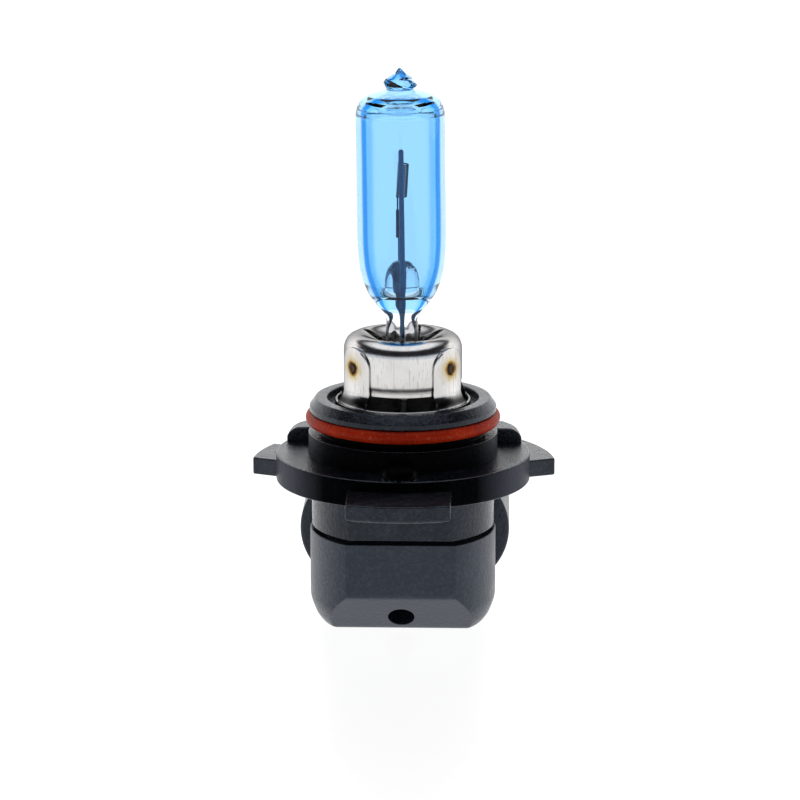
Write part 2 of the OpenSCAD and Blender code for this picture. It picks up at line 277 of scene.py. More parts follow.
def plastic(name, base, wear=1.0, spec=0.4, rough=(0.28, 0.40), side=None, under=None):
    """Moulded black plastic: fine grain, patchy sheen, rubbed edges.

    side is a painted sheen colour for the outer ends along X, where side light falls, and under a painted
    reflection colour for faces that look down, where the bright floor is mirrored.
    """
    m = Mat(name)
    grain = m.noise(1700, 3.0, 0.75)
    patch = m.noise(260, 4.0)
    dust = m.noise(1500, 6.0, 0.7)
    geo = m.node("ShaderNodeNewGeometry")
    edge = m.ramp(geo.outputs["Pointiness"], [(0.515, 0.0), (0.60, 1.0)])
    dark, light = tuple(c * 0.8 for c in base), tuple(c * 1.25 for c in base)
    col = m.mix(m.ramp(patch, [(0.3, 0.0), (0.7, 1.0)]), dark, light)
    for source, start, end, amount, tone in ((grain, 0.48, 0.64, 0.22, (0.10, 0.11, 0.14)),
                                             (patch, 0.50, 0.66, 0.06, (0.16, 0.18, 0.22)),
                                             (dust, 0.62, 0.74, 0.12, (0.25, 0.25, 0.26))):
        mask = m.ramp(source, [(start, 0.0), (end, 1.0)])
        col = m.mix(m.math("MULTIPLY", mask, amount * wear), col, tone)
    col = m.mix(m.math("MULTIPLY", edge, 0.20 * wear), col, (0.22, 0.22, 0.23))
    # painted sheen: towards the outer ends along X the colour is mixed towards side, the light the sides would
    # catch
    if side:
        split = m.node("ShaderNodeSeparateXYZ")
        m.link(m.pos, split.inputs[0])
        out = m.math("MULTIPLY", m.math("ABSOLUTE", split.outputs["X"]), 50.0)
        col = m.mix(m.math("MULTIPLY", m.ramp(out, [(0.54, 0.0), (0.78, 1.0)]), 0.9), col, side)
    # painted reflection: faces that look down are mixed towards under, as if mirroring the bright floor
    if under:
        facing = m.node("ShaderNodeSeparateXYZ")
        m.link(geo.outputs["Normal"], facing.inputs[0])
        down = m.math("MULTIPLY", facing.outputs["Z"], -1.0)
        col = m.mix(m.math("MULTIPLY", m.ramp(down, [(0.35, 0.0), (0.56, 1.0)]), 0.9), col, under)
    m.color(col)
    m.rough(m.ramp(patch, [(0.25, rough[0]), (0.75, rough[1])]))
    m.set(Specular_IOR_Level=spec, IOR=1.5, Specular_Tint=(0.78, 0.87, 1.0, 1.0))
    n1 = m.bump(patch, 0.05, 0.0003)
    m.bump(grain, 1.0, 0.00010, n1)
    return m.mat


def steel(name, rough=0.2, heat=False):
    """Bright pressed sheet: faint drawing lines, scratches, heat tint round the welds and a painted dark
    reflection at the tabs' feet.
    """
    m = Mat(name)
    lines = m.noise(420, 3.0, 0.6, (1, 1, 9))
    scratch = m.noise(900, 2.0, 0.5, (6, 6, 0.6))
    blotch = m.noise(170, 4.0)
    col = m.mix(m.ramp(blotch, [(0.3, 0.0), (0.7, 1.0)]), (0.68, 0.67, 0.655), (0.82, 0.81, 0.80))
    marks = m.ramp(scratch, [(0.58, 0.0), (0.66, 1.0)])
    col = m.mix(m.math("MULTIPLY", marks, 0.45), col, (0.40, 0.39, 0.37))
    if heat:
        near = None
        for a in TAB_AZ:
            d = m.node("ShaderNodeVectorMath", operation="DISTANCE")
            m.link(m.pos, d.inputs[0])
            d.inputs[1].default_value = [c * MM for c in at_az(a, 8.98, SPOT_Z)]
            near = d.outputs["Value"] if near is None else m.math("MINIMUM", near, d.outputs["Value"])
        wob = m.math("MULTIPLY", m.math("SUBTRACT", m.noise(900, 3.0), 0.5), 0.0009)
        near = m.math("MULTIPLY", m.math("ADD", near, wob), 1000 / 3.6)
        tint = m.ramp(near, [
            (0.0, (0.05, 0.03, 0.015)), (0.19, (0.16, 0.08, 0.03)), (0.28, (0.50, 0.32, 0.12)),
            (0.36, (0.80, 0.70, 0.46)), (0.55, (0.93, 0.90, 0.84)), (0.8, (1.0, 1.0, 1.0))])
        col = m.mix(1.0, col, tint, "MULTIPLY")
        split = m.node("ShaderNodeSeparateXYZ")
        m.link(m.pos, split.inputs[0])
        # painted reflection: a dark band at the height of the tabs' feet, where they would mirror the dark base
        foot_reflection = m.ramp(m.math("MULTIPLY", split.outputs["Z"], 20.0), [
            (0.657, (1, 1, 1)), (0.661, (0.1, 0.1, 0.1)), (0.674, (0.12, 0.12, 0.12)), (0.696, (1, 1, 1))])
        col = m.mix(1.0, col, foot_reflection, "MULTIPLY")
    m.color(col)
    m.set(Metallic=1.0, Specular_Tint=(0.30, 0.30, 0.31, 1.0))
    m.rough(m.ramp(m.math("ADD", m.math("MULTIPLY", lines, 0.5), m.math("MULTIPLY", blotch, 0.5)),
                   [(0.3, rough * 0.75), (0.7, rough * 1.35)]))
    n1 = m.bump(lines, 0.06, 0.00006)
    m.bump(blotch, 0.10, 0.0003, n1)
    return m.mat


def wire(name, base, rough=0.35, scale=3000, metal=1.0):
    """Drawn wire: fine lines and darker patches."""
    m = Mat(name)
    n = m.noise(scale, 3.0, 0.6, (1, 1, 0.2))
    dark, light = tuple(c * 0.7 for c in base), tuple(c * 1.2 for c in base)
    m.color(m.mix(m.ramp(n, [(0.3, 0.0), (0.7, 1.0)]), dark, light))
    m.set(Metallic=metal)
    m.rough(m.ramp(n, [(0.3, rough * 0.8), (0.7, rough * 1.3)]))
    m.bump(n, 0.15, 0.00003)
    return m.mat


def rubber(name, base, light, rough=0.42):
    """Silicone: soft blotches, a dusting, fine texture."""
    m = Mat(name)
    blotch = m.noise(330, 4.0)
    fine = m.noise(3600, 3.0)
    col = m.mix(m.ramp(blotch, [(0.3, 0.0), (0.72, 1.0)]), base, light)
    dust = m.ramp(fine, [(0.60, 0.0), (0.70, 1.0)])
    col = m.mix(m.math("MULTIPLY", dust, 0.25), col, (0.80, 0.42, 0.30))
    m.color(col)
    m.rough(m.ramp(blotch, [(0.3, rough * 0.85), (0.7, rough * 1.2)]))
    m.set(Specular_IOR_Level=0.14)
    m.bump(fine, 0.12, 0.00005)
    return m.mat


def glass(name, centre, edge, deep, pale):
    """Quartz whose colour turns deep in a band near its outline and pale outside that band; the pale band is a
    painted reflection and the streaks in the bands are painted highlights.
    """
    m = Mat(name)
    lw = m.node("ShaderNodeLayerWeight")
    lw.inputs["Blend"].default_value = 0.5
    streaks_and_highlights = m.noise(190, 3.0, 0.5, (1, 1, 0.25))
    split = m.node("ShaderNodeSeparateXYZ")
    m.link(m.pos, split.inputs[0])
    f = m.math("ADD", lw.outputs["Facing"], m.math("MULTIPLY", m.math("SUBTRACT", streaks_and_highlights, 0.5), 0.06))
    f = m.math("SUBTRACT", f, m.math("MULTIPLY", split.outputs["X"], 2.0))
    # painted reflection: the pale band towards the outline stands in for reflection, and the streak noise makes
    # the bands streaky, standing in for highlights
    m.color(m.ramp(f, [(0.0, centre), (0.20, centre), (0.33, edge), (0.39, deep),
                       (0.50, deep), (0.57, pale), (0.98, pale), (1.0, edge)]))
    m.set(IOR=1.46, Specular_IOR_Level=0.3)
    m.b.inputs["Transmission Weight"].default_value = 1.0
    m.rough(m.ramp(streaks_and_highlights, [(0.3, 0.0), (0.9, 0.02)]))
    m.bump(streaks_and_highlights, 0.03, 0.0002)
    return m.mat


PLASTIC = plastic("black_plastic", (0.004, 0.005, 0.008), 1.0, 0.55, (0.14, 0.24))
# the cover's down-facing faces carry a painted reflection of the floor
COVER = plastic("cover_plastic", (0.007, 0.010, 0.018), 1.0, 0.85, (0.27, 0.40), under=(0.075, 0.078, 0.088))
# painted shade: the disc's rim, the neck's wall and the front hump get a near-black colour with little specular,
# and a painted lighter sheen towards their outer ends along X
PAINTED_SHADE_AND_SHEEN = plastic("plastic_painted_shade_and_sheen", (0.0006, 0.0006, 0.001), 0.15, 0.03, (0.25, 0.35), side=(0.085, 0.09, 0.11))
SHELL = plastic("shell_plastic", (0.006, 0.008, 0.012), 0.6, 0.95)
STEEL = steel("cup_steel", 0.17, True)
RING = steel("ring_steel", 0.19, True)
NUGGET = wire("weld_nugget", (0.06, 0.035, 0.02), 0.35, 2200, 0.8)
COIL = wire("coil_wire", (0.010, 0.03, 0.07), 0.5, 3000, 0.3)
LEAD = wire("lead_wire", (0.045, 0.14, 0.27), 0.4, 3000, 0.6)
OUTER = wire("outer_lead_wire", (0.45, 0.44, 0.43), 0.3)
FOIL = wire("foil_sheet", (0.42, 0.42, 0.44), 0.35)
TIN = wire("tinned_blade", (0.62, 0.60, 0.54), 0.28, 1200)
ORING = rubber("oring_silicone", (0.30, 0.015, 0.0015), (0.46, 0.040, 0.006))
SEAL = rubber("seal_silicone", (0.22, 0.05, 0.03), (0.32, 0.09, 0.06), 0.55)
BLUE = glass("blue_glass", (0.31, 0.63, 0.95), (0.08, 0.46, 0.90), (0.0, 0.11, 0.56), (0.56, 0.77, 0.97))
CLEAR = glass("clear_glass", (0.97, 0.98, 1.0), (0.85, 0.92, 0.97), (0.55, 0.66, 0.78), (0.9, 0.95, 1.0))

# ---------------------------------------------------------------- capsule


def track(keys, z):
    """Smooth value at z through (z, value) keys."""
    if z <= keys[0][0]:
        return keys[0][1]
    for i in range(len(keys) - 1):
        z0, a = keys[i]
        z1, b = keys[i + 1]
        if z <= z1:
            t = (z - z0) / (z1 - z0)
            h = z1 - z0
            ma = (b - keys[i - 1][1]) / (z1 - keys[i - 1][0]) if i else (b - a) / h
            mb = (keys[i + 2][1] - a) / (keys[i + 2][0] - z0) if i + 2 < len(keys) else (b - a) / h
            return ((2 * t**3 - 3 * t**2 + 1) * a + (t**3 - 2 * t**2 + t) * h * ma
                    + (-2 * t**3 + 3 * t**2) * b + (t**3 - t**2) * h * mb)
    return keys[-1][1]


# by height: the capsule's half widths along X and Y, its section's exponent and the pinch's groove
OUT_A = [(34, 2.3), (43.8, 2.3), (44.8, 2.34), (45.5, 2.6), (46.1, 3.1), (46.7, 3.72), (47.4, 4.28), (48.3, 4.9),
         (50.1, 5.62), (52, 6.07), (53.7, 6.26), (56, TUBE_R), (66, TUBE_R)]
OUT_B = [(34, 4.6), (43.8, 4.6), (45.4, 4.5), (47.0, 4.7), (49, 5.3), (50.4, 5.72), (51.9, 6.05), (53.7, 6.26),
         (56, TUBE_R), (66, TUBE_R)]
EXPO = [(34, 7.0), (43.4, 7.0), (44.6, 4.2), (45.6, 2.8), (47, 2.2), (49, 2.02), (54, 2.0), (66, 2.0)]
GROOVE = [(34, 0.42), (43, 0.42), (46, 0.12), (47.5, 0.0), (66, 0.0)]
SEG = 144


def capsule_ring(z, r_x, r_y, n, groove=0.0):
    ring = []
    for i in range(SEG):
        t = 2 * pi * i / SEG
        c, s = cos(t), sin(t)
        x = r_x * math.copysign(abs(c) ** (2 / n), c)
        y = r_y * math.copysign(abs(s) ** (2 / n), s)
        if groove:
            y *= 1 - groove / r_y * math.exp(-((x / 0.75) ** 2)) * smooth((abs(y) / r_y - 0.8) / 0.15)
        ring.append(lean((x, y, z)))
    return ring


glass_body = Build()
rings = []
z = CAPSULE_FOOT
while z < 66:
    rings.append(capsule_ring(z, track(OUT_A, z), track(OUT_B, z), track(EXPO, z), track(GROOVE, z)))
    z += 0.8 if z < 43 or z > 55 else 0.25
dome = fillet([(TUBE_R, 66.2), (TUBE_R, 73.2), (6.36, 74.3, 1), (6.1, 75.4, 1), (5.55, 76.2, 1), (4.7, 76.8, 1),
               (3.4, 77.24, 1), (2.35, 77.5, .3), (1.85, 77.62, .12), (2.12, 77.82, .1), (2.3, 78.2, .3),
               (2.22, 78.65, .4), (1.9, 79.1, .6), (1.3, 79.52, .6), (0.75, 79.9, .6), (0.42, 80.32, .6),
               (0.12, 80.66, .1), (0.02, 80.69)], 5, False)
for r, zz in dome:
    ring = []
    for i in range(SEG):
        t = 2 * pi * i / SEG
        swirl = 0.09 * smooth((zz - 77.65) / 0.4) * (1 - smooth((zz - 79.9) / 0.6))
        k = 1 + swirl * sin(3 * t + (zz - 77.6) * 3.4)
        ring.append(lean((r * k * cos(t), r * k * sin(t), zz)))
    rings.append(ring)
glass_body.rings(rings)
# the cavity's wall, from the domed rise over the pinch to the top
inner = fillet([(0.02, 53.1), (1.2, 52.85, .8), (2.1, 51.9, .8), (2.45, 50.4, 1), (2.52, 48.6, .4),
                (3.05, 47.9, .4), (3.75, 48.4, .6), (4.6, 50.0, 1.5), (5.07, 52.3, 2), (5.26, 55.0, 3),
                (CAVITY_R, 58, 3), (CAVITY_R, 72.6, 1), (5.24, 73.8, .8), (4.8, 74.6, .8), (3.9, 75.0, .8),
                (2.6, 75.12, .8), (0.02, 75.15)], 6, False)
glass_body.lathe(inner, SEG, mat=1, flip=True, move=lean)
capsule = glass_body.object("capsule_glass", [BLUE, CLEAR], ["glass_capsule"], "tinted_glass", 0, False)
COAT_FOOT = 46.2
for p in capsule.data.polygons:
    if p.center.z < COAT_FOOT * MM:
        p.material_index = 1


def sweep(build, path, radius, sides=10):
    """A round wire along a path, with frames carried from point to point."""
    pts = [Vector(p) for p in path]
    t0 = (pts[1] - pts[0]).normalized()
    u = t0.orthogonal().normalized()
    rings = []
    for i, p in enumerate(pts):
        t = (pts[min(i + 1, len(pts) - 1)] - pts[max(i - 1, 0)]).normalized()
        u = (u - t * u.dot(t)).normalized()
        w = t.cross(u)
        r = radius(i / (len(pts) - 1)) if callable(radius) else radius
        rings.append([p + (u * cos(2 * pi * k / sides) + w * sin(2 * pi * k / sides)) * r for k in range(sides)])
    build.rings(rings)


# the coil with its two legs
coil = Build()


def coil_point(k):
    """The wire's centre after k turns from the bottom."""
    a = pi + 2 * pi * k
    v = Vector((COIL_R * cos(a), COIL_R * sin(a), COIL_H * (k / TURNS - 0.5)))
    v.rotate(Matrix.Rotation(COIL_TILT, 3, "Y"))
    return COIL_MID + v


top, bot = coil_point(TURNS), coil_point(0)
bend = Vector((LOWER_LEG_X, 1.4, bot.z))
path = [Vector((LOWER_LEG_X, 1.82, z)) for z in (56.2, 57, 58, 59, 60, 61, bot.z - 0.5, bot.z - 0.25)]
path += [Vector((LOWER_LEG_X, y, bot.z - drop)) for y, drop in ((1.76, 0.08), (1.62, 0.01))] + [bend]
path += [bot.lerp(bend, k) for k in (0.75, 0.5, 0.25, 0.1)]
path += [coil_point(k / TURN_STEPS) for k in range(TURN_STEPS * TURNS + 1)]
path += [top.lerp(Vector((UPPER_LEG_X, -0.7, top.z)), k) for k in (0.1, 0.3, 0.6, 1.0)]
path += [Vector((UPPER_LEG_X, y, top.z)) for y in (-1.0, -1.5, -1.9)]
sweep(coil, [lean(p) for p in path], WIRE_R, 8)
coil.object("filament_coil", [COIL], ["filament"], "tungsten", 0, False)

# these keep the CAD's own meshes
for node, mat in (("long_lead", LEAD), ("short_lead", LEAD), ("upper_leg_sleeve", COIL),
                  ("lower_leg_sleeve", COIL), ("front_foil", FOIL), ("rear_foil", FOIL),
                  ("front_outer_lead", OUTER), ("rear_outer_lead", OUTER),
                  ("left_terminal", TIN), ("right_terminal", TIN), ("lead_seal", SEAL)):
    N[node].data.materials.clear()
    N[node].data.materials.append(mat)

# ---------------------------------------------------------------- holder cup


# the wedge cuts: azimuth, tip radius, half width at the middle and at the tip
WEDGES = [(a, 5.7, 1.8, 0.30) for a in (22.5, 157.5, 202.5, 337.5)]
WEDGES += [(a, 6.0, 2.3, 0.45) for a in (67.5, 112.5, 247.5, 292.5)]


def hole_radius(t):
    """Edge of the cut in the cup's top at angle t from +X: a slot for the pinch and eight wedge cuts."""
    c, s = abs(cos(t)), abs(sin(t))
    r = min(2.4 / max(c, 1e-6), 4.7 / max(s, 1e-6))
    az = math.degrees(t) + 90
    for centre, tip, w0, w1 in WEDGES:
        d = math.radians((az - centre + 180) % 360 - 180)
        if abs(d) < 0.6:
            # the wedge's side runs from w0 at the middle to w1 at the tip
            td = math.tan(abs(d))
            reach = w0 / (td + (w0 - w1) / tip) / cos(d) if td > 1e-9 else 99
            nose = 0.3 * (1 - (abs(d) / 0.06) ** 2) if abs(d) < 0.06 else 0
            reach = min(reach, (tip + nose) / cos(d))
            r = max(r, reach)
    return r


cup = Build()
CUP_TOP = [(8.42, 34.6), (8.42, 35.6), (8.55, 35.9), (8.55, 37), (8.55, 38.5), (8.55, 40.0), (8.5, 40.6),
           (8.33, 41.15), (8.05, 41.65), (7.64, 42.02), (7.1, 42.28), (6.5, 42.4), (6.05, 42.34), (5.6, 42.18), (5.2, 41.98)]
for i in range(12):
    r = 4.8 - i * 0.24
    CUP_TOP.append((r, 41.76 - (4.8 - r) * 0.42 + 0.03 * (4.8 - r) ** 2))
seg = 720
rings = []
for i, (r, z) in enumerate(CUP_TOP):
    ring = []
    for k in range(seg):
        t = 2 * pi * k / seg
        rr, zz = r, z
        hole = hole_radius(t)
        if rr < hole:
            rr = hole
            # follow the top's own height where the cut stops it
            for (ra, za), (rb, zb) in zip(CUP_TOP[10:], CUP_TOP[11:]):
                if rb <= rr <= ra:
                    zz = za + (zb - za) * (ra - rr) / (ra - rb)
        ring.append((rr * cos(t), rr * sin(t), zz))
    rings.append(ring)
# the sheet's inner side lies inward of the wall and below the top
inside = []
for i, ring in enumerate(rings):
    out = []
    for x, y, z in ring:
        r = math.hypot(x, y)
        k = smooth((z - 40.0) / 2.2) if i > 4 else 0.0
        dr, dz = CUP_SHEET * (1 - k), CUP_SHEET * k
        out.append((x * (1 - dr / r), y * (1 - dr / r), z - dz))
    inside.append(out)
cup.rings(rings + inside[::-1], loop=True)
cup.object("holder_cup_steel", [STEEL], ["holder_cup"], "steel", 40, False)

# ---------------------------------------------------------------- weld ring and its tabs
ring = Build()
ring.lathe(fillet([(9.38, 27.0, .1), (9.8, 27.0, .1), (9.8, 32.8, .14), (9.38, 32.8, .14)], 4), 192, loop=True)


def tab_r(z):
    """Radius of a tab's middle, which steps inward over the cup."""
    return RING_MID_R - 0.83 * smooth((z - 32.5) / 2.1)


for a in TAB_AZ:
    rows = [31.4 + 0.2 * k for k in range(18)] + [35.2 + 0.4 * k for k in range(8)]
    rows += [SPOT_Z + TAB_HALF * sin(pi / 2 * k / 14) for k in range(1, 15)]
    front, back = [], []
    for z in rows:
        if z <= SPOT_Z:
            w = TAB_HALF + 0.75 * (1 - smooth((z - 32.4) / 1.3))
        else:
            w = TAB_HALF * math.sqrt(max(0.0004, 1 - ((z - SPOT_Z) / TAB_HALF) ** 2))
        dr = (tab_r(z + 0.05) - tab_r(z - 0.05)) / 0.1
        for side, off in ((front, RING_SHEET / 2), (back, -RING_SHEET / 2)):
            line = []
            for k in range(21):
                s = w * (k / 10 - 1)
                edge = 1 - smooth((abs(k / 10 - 1) - 0.9) / 0.1) * 0.45
                r = tab_r(z) + off * edge
                b = math.degrees(math.asin(max(-1, min(1, s / tab_r(z)))))
                line.append(at_az(a + b, r, z - off * edge * dr * 0.9))
            side.append(line)
    ring.rings([f + b[::-1] for f, b in zip(front, back)])
ring.object("weld_ring_steel", [RING], ["weld_ring"], "steel", 40, False)

spots = Build()
# the nugget's radius and its distance from the lamp's axis, from its middle out
prof = [(0.02, 9.03), (0.22, 9.05), (0.4, 9.08), (0.55, 9.1), (0.68, 9.06), (0.8, 8.995), (0.9, 8.93)]
for a in TAB_AZ:
    rows = []
    for r, h in prof:
        row = []
        for k in range(36):
            t = 2 * pi * k / 36
            q = r * (1 + 0.10 * sin(3 * t + a) + 0.05 * sin(7 * t))
            s, dz = q * cos(t), q * sin(t)
            row.append(at_az(a + math.degrees(s / 8.97), h, SPOT_Z + dz))
        rows.append(row)
    spots.rings(rows[::-1])
spots.object("weld_nuggets", [NUGGET], ["weld_spots"], "weld", 0, False)

# ---------------------------------------------------------------- base mouldings


def cap_outline(r, f, corner=0.5, n=96):
    """Circle of radius r with a flat at y = -f, corners rounded; anticlockwise."""
    w = math.sqrt(max(r * r - f * f, 0.01))
    a0 = math.atan2(-f, w)
    a1 = -pi - a0 + 2 * pi
    step = 1.1 / r  # keeps the round part clear of the corners
    pts = [(-w * 0.5, -f), (0, -f), (w * 0.5, -f), (w, -f, corner)]
    for k in range(n):
        t = a0 + step + (a1 - a0 - 2 * step) * k / (n - 1)
        pts.append((r * cos(t), r * sin(t)))
    pts.append((-w, -f, corner))
    return fillet(pts, 5)


def arc_pts(r, a0, a1, n):
    """Points on a plan arc between azimuths from the front, in degrees."""
    return [at_az(a0 + (a1 - a0) * k / n, r, 0)[:2] for k in range(n + 1)]


def mirrored(outline):
    """An outline of (x, y, radius) on the lamp's other side, still anticlockwise."""
    return [(-q[0], q[1], q[2]) for q in outline][::-1]


housing = Build()
housing.prism(cap_outline(13.25, BODY_FLAT, 0.6), 14.2, 21.2, 0.22, 0.05)
housing.lathe(fillet([(6, DISC_BOTTOM), (DISC_R, DISC_BOTTOM, .35), (DISC_R, DISC_TOP, .3), (6, DISC_TOP)], 5,
                     False), 256)


def notch(p):
    """A shallow gate scar in the lip's chamfer at the left."""
    x, y, z = p
    a = math.degrees(math.atan2(x, -y))
    r = math.hypot(x, y)
    if -117 < a < -97 and r > 12.7 and z > 32.2:
        k = 12.75 / r
        return (x * k, y * k, min(z, 32.5))
    return p


neck = fillet([(13.7, 24.4), (13.7, 28.0, .25), (12.1, 28.0, .12), (12.1, 31.0, .12), (13.5, 31.0, .15),
               (13.5, 31.8, .18), (12.63, 33.0, .2), (10.95, 33.0, .18), (10.95, 31.8, .12), (9.8, 31.8, .12),
               (9.8, 26.9), (6, 26.9)], 5, False)
housing.lathe([(6, 24.4)] + neck, 288, move=notch)
tab = fillet([(-7.3, -14, 0), (-7.3, -25.16, .5)] + [(q[0], q[1], 0) for q in arc_pts(26.2, -15.6, 15.6, 24)]
             + [(7.3, -25.16, .5), (7.3, -14, 0)], 5)
housing.prism(tab, LUG_BOTTOM, LUG_TOP, 0.65, 0.22)

lug_out = at_az(LUG_AZ, 1, 0)[:2]
lug_side = (lug_out[1], -lug_out[0])


def lug_point(along, across):
    """A plan point by its distances along the lug and to its side."""
    return (lug_out[0] * along + lug_side[0] * across, lug_out[1] * along + lug_side[1] * across)


def lug_outline(r, w1, w2):
    """A lug that reaches radius r, w1 wide to one side of its middle and w2 to the other."""
    b1, b2 = math.asin(w1 / r), math.asin(w2 / r)
    p = [(*lug_point(14, w1), 0), (*lug_point(r * cos(b1), w1), .45)]
    p += [(*q, 0) for q in arc_pts(r, LUG_AZ - math.degrees(b1) + 1.5, LUG_AZ + math.degrees(b2) - 1.5, 20)]
    p += [(*lug_point(r * cos(b2), -w2), .45), (*lug_point(14, -w2), 0)]
    signed = sum(p[i - 1][0] * p[i][1] - p[i][0] * p[i - 1][1] for i in range(len(p)))
    return p[::-1] if signed < 0 else p


housing.prism(fillet(lug_outline(22.2, 6.5, 6.5), 5), LUG_BOTTOM, LUG_TOP, 0.25, 0.22)
housing.prism(fillet(mirrored(lug_outline(22.0, 7.16, 1.92)), 5), LUG_BOTTOM, LUG_TOP, 0.25, 0.22)

# the front hump on the flange, narrowing to its round outer end
rows = []
for k in range(-4, 15):
    q = max(0.0, pi / 2 * k / 14.3)
    y = -12.0 - 0.93 * (k + 4) if k < 0 else -15.72 - 2.6 * sin(q)
    w = cos(q) ** 0.7
    ring_h = []
    for j in range(64):
        t = 2 * pi * j / 64
        sx, sz = sin(t), cos(t)
        x = 2.65 * w * math.copysign(abs(sx) ** 0.72, sx)
        z = 24.6 + 2.2 * (1 - (1 - w) * 0.9) * math.copysign(abs(sz) ** 0.72, sz)
        ring_h.append((x, y, z))
    rows.append(ring_h)
housing.rings(rows)


def hump_drop(p):
    """Lets a side hump's outer end fall away in a round."""
    over = abs(p[0]) - 15.3
    z = p[2] if over <= 0 else min(p[2], 24.8 + math.sqrt(max(0.0, 4.0 - over * over)))
    return (p[0], p[1], z)


for sign in (1, -1):
    p = [(8, 5.85, 0), (17.25, 5.85, .5)] + [(*q, 0) for q in arc_pts(18.3, 110.5, 126.5, 10)]
    p += [(14.45, 11.15, .5), (8, 11.15, 0)]
    if sign < 0:
        p = mirrored(p)
    outline = fillet(p, 5)
    dense = []
    for i in range(len(outline)):
        a, b = Vector(outline[i]), Vector(outline[(i + 1) % len(outline)])
        n = max(1, int((b - a).length / 0.35))
        dense += [tuple(a.lerp(b, k / n)) for k in range(n)]
    hump = Build()
    hump.prism(dense, 24.3, HUMP_TOP, 0.05, 0.4, 5)
    base = len(housing.v)
    housing.v += [Vector(hump_drop(v)) for v in hump.v]
    for f in hump.f[:-1]:
        housing.face([base + i for i in f])
    # a gridded top stands in for the prism's last face, which could not fall away
    strip = []
    for c in [8 + 0.35 * k for k in range(28)]:
        y0 = 6.25
        y1 = min(10.75, math.sqrt(17.9**2 - c * c) if c < 17.9 else 0)
        if y1 > y0:
            strip.append([hump_drop((sign * c, y0 + (y1 - y0) * k / 6, HUMP_TOP)) for k in range(7)])
    base = len(housing.v)
    for row in strip:
        housing.v += [Vector(v) for v in row]
    for i in range(len(strip) - 1):
        for k in range(6):
            q = base + i * 7 + k
            f = (q, q + 7, q + 8, q + 1)
            housing.face(f if sign > 0 else f[::-1])
housing_ob = housing.object("housing_moulding", [PLASTIC, PAINTED_SHADE_AND_SHEEN], ["base_housing"], "black_plastic")
# painted shade: the rim, neck wall and front hump faces take the near-black material with the painted side sheen
for p in housing_ob.data.polygons:
    r, z = math.hypot(p.center.x, p.center.y) / MM, p.center.z / MM
    upright = abs(p.normal.z) < 0.6
    front_hump = p.center.y < -11.5 * MM and z > 24.95 and r > 13.75
    disc_rim = upright and 17.8 < r < 18.6 and 20.8 < z < 24.8
    neck_wall = upright and 11.9 < r < 13.9 and 24.8 < z < 31.0
    if front_hump or disc_rim or neck_wall:
        p.material_index = 1

# bottom cover: outline changes with height for the chamfer and the rounded lower edge
cover = Build()
COVER_R, COVER_TOP, COVER_EDGE = 13.5, 13.48, 0.22
CHAMFER_RUN, CHAMFER_RISE = 4.5, 5.8
R_KEYS = [(0, 11.55), (0.12, 11.8), (0.5, 12.15), (1.15, 12.6), (1.85, 12.9), (2.9, 13.3), (3.8, 13.48),
          (5, COVER_R), (14, COVER_R)]


def front_limit(z):
    """How far the front flat stands from the axis: the chamfer, blended into the upright face."""
    a, b = BODY_FLAT, BODY_FLAT - CHAMFER_RUN + z * CHAMFER_RUN / CHAMFER_RISE
    k = 0.35
    h = max(0.0, min(1.0, 0.5 + 0.5 * (b - a) / k))
    f = b * (1 - h) + a * h - k * h * (1 - h)
    return f - 0.25 * (1 - smooth(z / 0.25)) * 0.6


levels = [0, 0.05, 0.12, 0.25, 0.5, 0.8, 1.15, 1.5, 1.85, 2.4, 2.9, 3.4, 3.8, 4.4, 5.0, 5.4, 5.6, 5.8,
          6.0, 6.2, 6.6, 8, 10, 12, 13.3]
rows = []
for z in levels:
    rows.append([(x, y, z) for x, y in cap_outline(track(R_KEYS, z), front_limit(z), 0.6)])
for k in range(1, 5):
    q = pi / 2 * k / 4
    inset = COVER_EDGE * (1 - cos(q))
    outline = cap_outline(COVER_R - inset, BODY_FLAT - inset, 0.6)
    rows.append([(x, y, COVER_TOP + COVER_EDGE * sin(q)) for x, y in outline])
cover.rings(rows)
cover_ob = cover.object("cover_moulding", [COVER], ["base_cover"], "black_plastic", 30, False)

# the drain hole is cut through the chamfer
slope = math.atan2(CHAMFER_RUN, CHAMFER_RISE)
cutter = Build()
# the cutter's radius and its height out of the chamfer
prof = [(0.02, -4.0), (1.85, -4.0), (1.85, -0.12), (1.9, -0.03), (2.05, 0.08), (2.05, 1.0), (0.02, 1.0)]
normal = Vector((0, -cos(slope), -sin(slope)))
up = Vector((0, -sin(slope), cos(slope)))
centre = Vector((0, -8.15, 2.13))
right = Vector((1, 0, 0))
rows = [[centre + right * r * cos(2 * pi * k / 64) + up * r * sin(2 * pi * k / 64) + normal * h
         for k in range(64)] for r, h in prof]
cutter.rings(rows)
me = bpy.data.meshes.new("cutter")
me.from_pydata([v * MM for v in cutter.v], [], cutter.f)
cut_ob = bpy.data.objects.new("cutter", me)
bpy.context.scene.collection.objects.link(cut_ob)
mod = cover_ob.modifiers.new("hole", "BOOLEAN")
mod.operation, mod.solver, mod.object = "DIFFERENCE", "EXACT", cut_ob
bpy.context.view_layer.update()
done = bpy.data.meshes.new_from_object(cover_ob.evaluated_get(bpy.context.evaluated_depsgraph_get()))
cover_ob.modifiers.clear()
cover_ob.data = done
bpy.data.objects.remove(cut_ob)
done.set_sharp_from_angle(angle=math.radians(30))
w = cover_ob.modifiers.new("normals", "WEIGHTED_NORMAL")
w.keep_sharp = True

# the dark step between the two mouldings
tongue = Build()
tongue.prism(cap_outline(11.4, 8.9, 0.5), 13.2, 16.5, 0.1, 0.1)
tongue.object("cover_tongue", [COVER], None, "black_plastic")

# ---------------------------------------------------------------- socket shell


